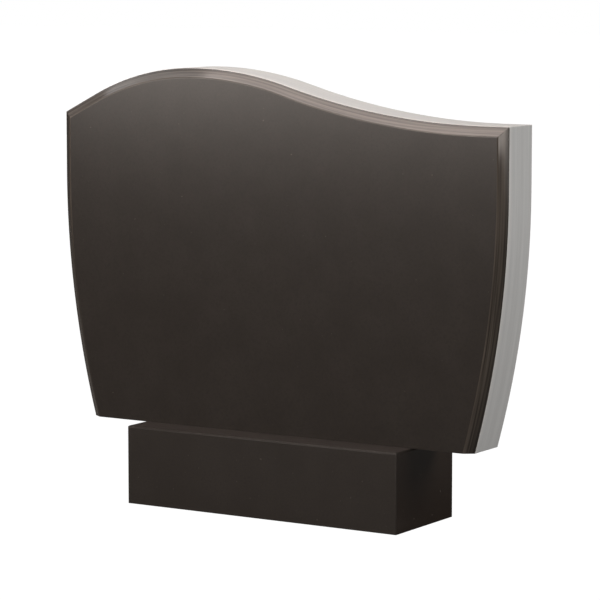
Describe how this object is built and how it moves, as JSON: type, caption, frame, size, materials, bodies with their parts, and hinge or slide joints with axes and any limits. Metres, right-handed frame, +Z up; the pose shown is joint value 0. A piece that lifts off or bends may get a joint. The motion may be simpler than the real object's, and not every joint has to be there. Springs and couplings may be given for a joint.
{
  "type": "headstone",
  "caption": "Upright headstone: a thick chamfered tablet with an off-centre crest and bowed sides on a plain block base; its face is bare.",
  "frame": {"origin": "middle of the base's underside, on the ground", "axes": "+X to the viewer's right, +Y to the back, +Z up; the polished face looks along -Y"},
  "size_m": [1, 0.215, 0.855],
  "materials": {
    "tablet_stone": "polished",
    "base_stone": "polished"
  },
  "bodies": {
    "root": {"tablet": "tablet_stone", "base": "base_stone"}
  },
  "joints": []
}
